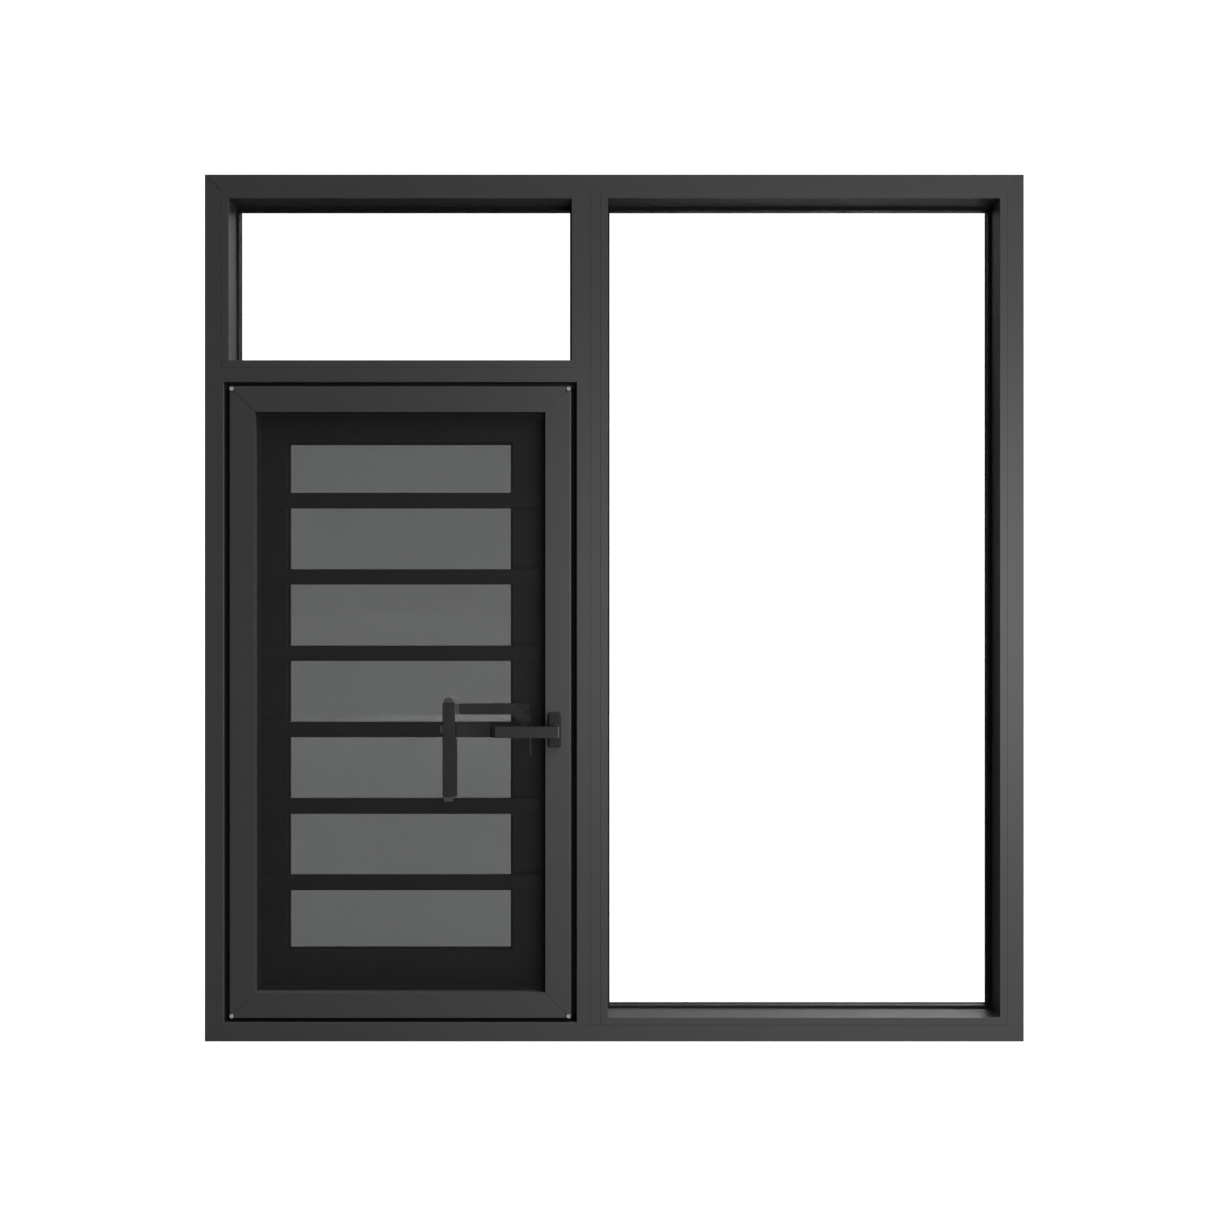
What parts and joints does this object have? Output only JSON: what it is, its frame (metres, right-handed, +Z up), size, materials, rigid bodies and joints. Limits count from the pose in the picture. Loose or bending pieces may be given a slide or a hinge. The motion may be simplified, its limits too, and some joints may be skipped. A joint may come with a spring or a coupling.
{
  "type": "combination window with fixed picture pane",
  "caption": "Aluminium combination window: a tall fixed picture pane beside a small fixed light over a glazed sash with guard bars and a screen sash.",
  "frame": {"origin": "middle of the sill's underside, halfway through the frame's depth", "axes": "+X to the right seen from the room, +Y from the room to the outside, +Z up"},
  "size_m": [1.45, 0.17, 1.535],
  "materials": {
    "powder_coat": "fine matt powder coat, dark grey",
    "handle": "satin powder coat, dark grey",
    "clear_glass": "clear float glass",
    "tinted_glass": "grey tinted float glass",
    "rubber": "matt EPDM rubber, black",
    "mesh": "black coated woven wire",
    "spacer": "dark anodised bar",
    "polyamide": "glass filled polyamide, black",
    "corner_key": "moulded nylon, off white"
  },
  "bodies": {
    "root": {"frame_head": "powder_coat", "frame_jamb_left": "powder_coat", "frame_jamb_right": "powder_coat", "frame_sill": "powder_coat", "frame_thermal_break": "polyamide", "glazing_gaskets": "rubber", "guard_bar_1": "powder_coat", "guard_bar_2": "powder_coat", "guard_bar_3": "powder_coat", "guard_bar_4": "powder_coat", "guard_bar_5": "powder_coat", "guard_bar_6": "powder_coat", "guard_bar_plate": "powder_coat", "mullion": "powder_coat", "picture_bead_bottom": "powder_coat", "picture_bead_left": "powder_coat", "picture_bead_right": "powder_coat", "picture_bead_top": "powder_coat", "picture_glass": "clear_glass", "picture_spacer": "spacer", "sash_gaskets": "rubber", "sash_glass": "tinted_glass", "sash_handle_arm": "handle", "sash_handle_base": "handle", "sash_handle_grip": "handle", "sash_rail_bottom": "powder_coat", "sash_rail_top": "powder_coat", "sash_seal": "rubber", "sash_spacer": "spacer", "sash_stile_left": "powder_coat", "sash_stile_right": "powder_coat", "screen_corner_keys": "corner_key", "screen_handle_base": "handle", "screen_handle_lever": "handle", "screen_mesh": "mesh", "screen_rail_bottom": "powder_coat", "screen_rail_top": "powder_coat", "screen_seal": "rubber", "screen_spline": "rubber", "screen_stile_left": "powder_coat", "screen_stile_right": "powder_coat", "stop_bottom": "powder_coat", "stop_left": "powder_coat", "stop_right": "powder_coat", "stop_top": "powder_coat", "transom": "powder_coat", "upper_bead_bottom": "powder_coat", "upper_bead_left": "powder_coat", "upper_bead_right": "powder_coat", "upper_bead_top": "powder_coat", "upper_glass": "clear_glass", "upper_spacer": "spacer"}
  },
  "joints": []
}
